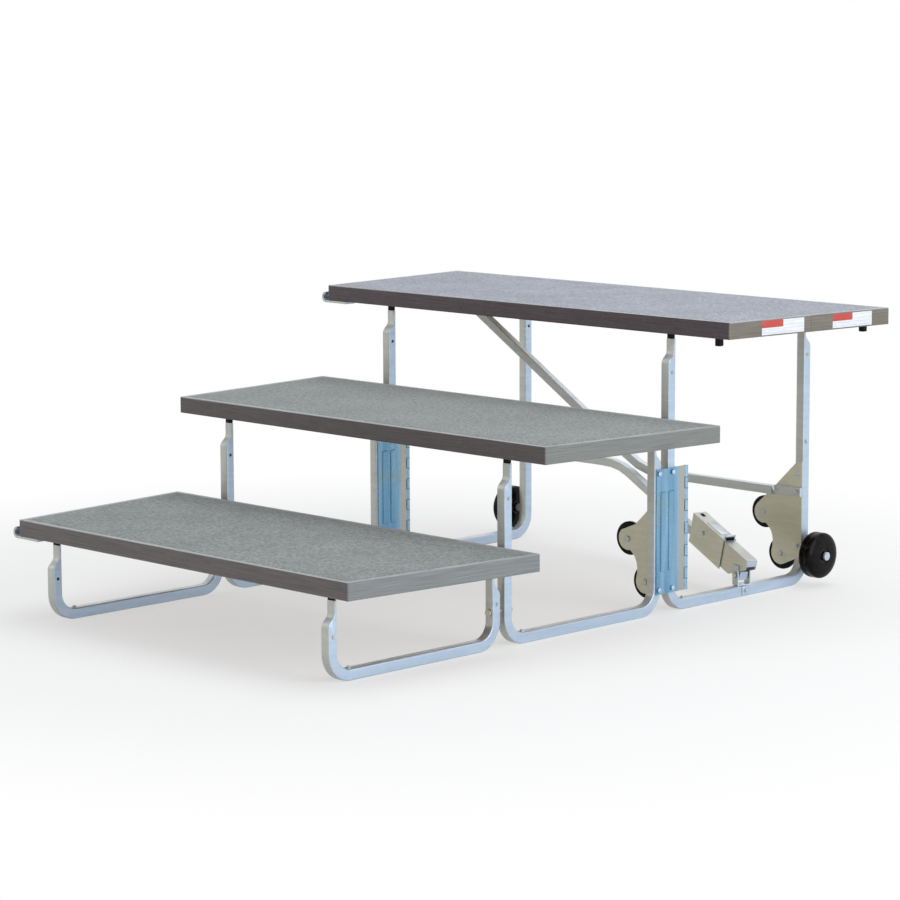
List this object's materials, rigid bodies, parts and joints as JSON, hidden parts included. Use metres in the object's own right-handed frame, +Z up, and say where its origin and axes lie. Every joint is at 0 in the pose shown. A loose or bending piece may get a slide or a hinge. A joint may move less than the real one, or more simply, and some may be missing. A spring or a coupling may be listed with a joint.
{
  "type": "choir riser",
  "caption": "Stepped choir riser with carpeted decks on U-shaped tube frames, side piano hinges for folding, braces, a lock and transport wheels.",
  "frame": {"origin": "on the floor, under the middle of the whole riser's box", "axes": "+Z up, +Y from the lowest step to the highest one, +X to the right end that carries the stair wheels, seen from the front"},
  "size_m": [1.27, 1.4492, 0.6096],
  "materials": {
    "carpet": "short grey needle-punch carpet",
    "edge": "dark grey satin extrusion with fine grooves",
    "board": "plain plywood",
    "zinc": "bright zinc-plated tube",
    "blue_zinc": "blue-tinted zinc plate",
    "steel": "plain plated sheet steel",
    "nylon": "black moulded nylon",
    "rubber": "black moulded rubber"
  },
  "bodies": {
    "third_step": {"deck_3_board": "board", "deck_3_carpet": "carpet", "deck_3_edge": "edge", "right_frame_3": "zinc", "left_frame_3": "zinc", "right_socket_3_front": "nylon", "left_socket_3_front": "nylon", "right_socket_3_rear": "nylon", "left_socket_3_rear": "nylon", "right_hinge_leaf_rear": "blue_zinc", "left_hinge_leaf_rear": "blue_zinc", "right_hinge_pin": "steel", "left_hinge_pin": "steel", "cross_brace": "zinc", "lock_brace": "zinc", "brace_lug": "zinc", "rear_wheel_bracket": "steel", "rear_upper_axle": "zinc", "rear_lower_axle": "zinc", "right_corner_axle": "zinc", "left_corner_axle": "zinc", "lock_shoe": "steel", "lock_clevis": "zinc", "lock_clevis_pin": "steel", "coupling_clip_3": "zinc", "rubber_block_front": "rubber", "rubber_block_rear": "rubber"},
    "right_front_frames": {"right_frame_1": "zinc", "right_frame_2": "zinc", "right_link_bolt": "steel", "right_hinge_leaf_front": "blue_zinc", "middle_wheel_bracket": "steel", "middle_upper_axle": "zinc", "middle_lower_axle": "zinc"},
    "left_front_frames": {"left_frame_1": "zinc", "left_frame_2": "zinc", "left_link_bolt": "steel", "left_hinge_leaf_front": "blue_zinc"},
    "first_deck": {"deck_1_board": "board", "deck_1_carpet": "carpet", "deck_1_edge": "edge", "coupling_clip_1": "zinc", "right_socket_1_front": "nylon", "left_socket_1_front": "nylon", "right_socket_1_rear": "nylon", "left_socket_1_rear": "nylon"},
    "second_deck": {"deck_2_board": "board", "deck_2_carpet": "carpet", "deck_2_edge": "edge", "right_socket_2_front": "nylon", "left_socket_2_front": "nylon", "right_socket_2_rear": "nylon", "left_socket_2_rear": "nylon"},
    "middle_upper_roller": {"middle_upper_wheel": "rubber"},
    "middle_lower_roller": {"middle_lower_wheel": "rubber"},
    "rear_upper_roller": {"rear_upper_wheel": "rubber"},
    "rear_lower_roller": {"rear_lower_wheel": "rubber"},
    "right_corner_roller": {"right_corner_wheel": "rubber"},
    "left_corner_roller": {"left_corner_wheel": "rubber"},
    "sleeve": {"lock_sleeve": "steel"}
  },
  "joints": [
    {"name": "right_fold", "type": "hinge", "parent": "third_step", "child": "right_front_frames", "pos_m": [0.42175, 0.28345, 0.171], "axis": [0, 0, 1], "range_deg": [0, 90]},
    {"name": "left_fold", "type": "hinge", "parent": "third_step", "child": "left_front_frames", "pos_m": [-0.39925, 0.28345, 0.171], "axis": [0, 0, 1], "range_deg": [0, 50]},
    {"name": "first_deck_lift", "type": "slide", "parent": "third_step", "child": "first_deck", "axis": [0, 0, 1], "range_m": [0, 0.1]},
    {"name": "second_deck_lift", "type": "slide", "parent": "third_step", "child": "second_deck", "axis": [0, 0, 1], "range_m": [0, 0.1]},
    {"name": "middle_upper_wheel_spin", "type": "hinge", "parent": "right_front_frames", "child": "middle_upper_roller", "pos_m": [0.3276, 0.22075, 0.145], "axis": [0, 1, 0], "continuous": true},
    {"name": "middle_lower_wheel_spin", "type": "hinge", "parent": "right_front_frames", "child": "middle_lower_roller", "pos_m": [0.3756, 0.22075, 0.06], "axis": [0, 1, 0], "continuous": true},
    {"name": "rear_upper_wheel_spin", "type": "hinge", "parent": "third_step", "child": "rear_upper_roller", "pos_m": [0.3156, 0.67105, 0.145], "axis": [0, 1, 0], "continuous": true},
    {"name": "rear_lower_wheel_spin", "type": "hinge", "parent": "third_step", "child": "rear_lower_roller", "pos_m": [0.3636, 0.67105, 0.06], "axis": [0, 1, 0], "continuous": true},
    {"name": "right_corner_wheel_spin", "type": "hinge", "parent": "third_step", "child": "right_corner_roller", "pos_m": [0.4556, 0.67555, 0.066], "axis": [1, 0, 0], "continuous": true},
    {"name": "left_corner_wheel_spin", "type": "hinge", "parent": "third_step", "child": "left_corner_roller", "pos_m": [-0.4556, 0.67555, 0.066], "axis": [1, 0, 0], "continuous": true},
    {"name": "lock_sleeve_slide", "type": "slide", "parent": "third_step", "child": "sleeve", "axis": [-0.9028, 0.3155, 0.2923], "range_m": [0, 0.08]}
  ]
}
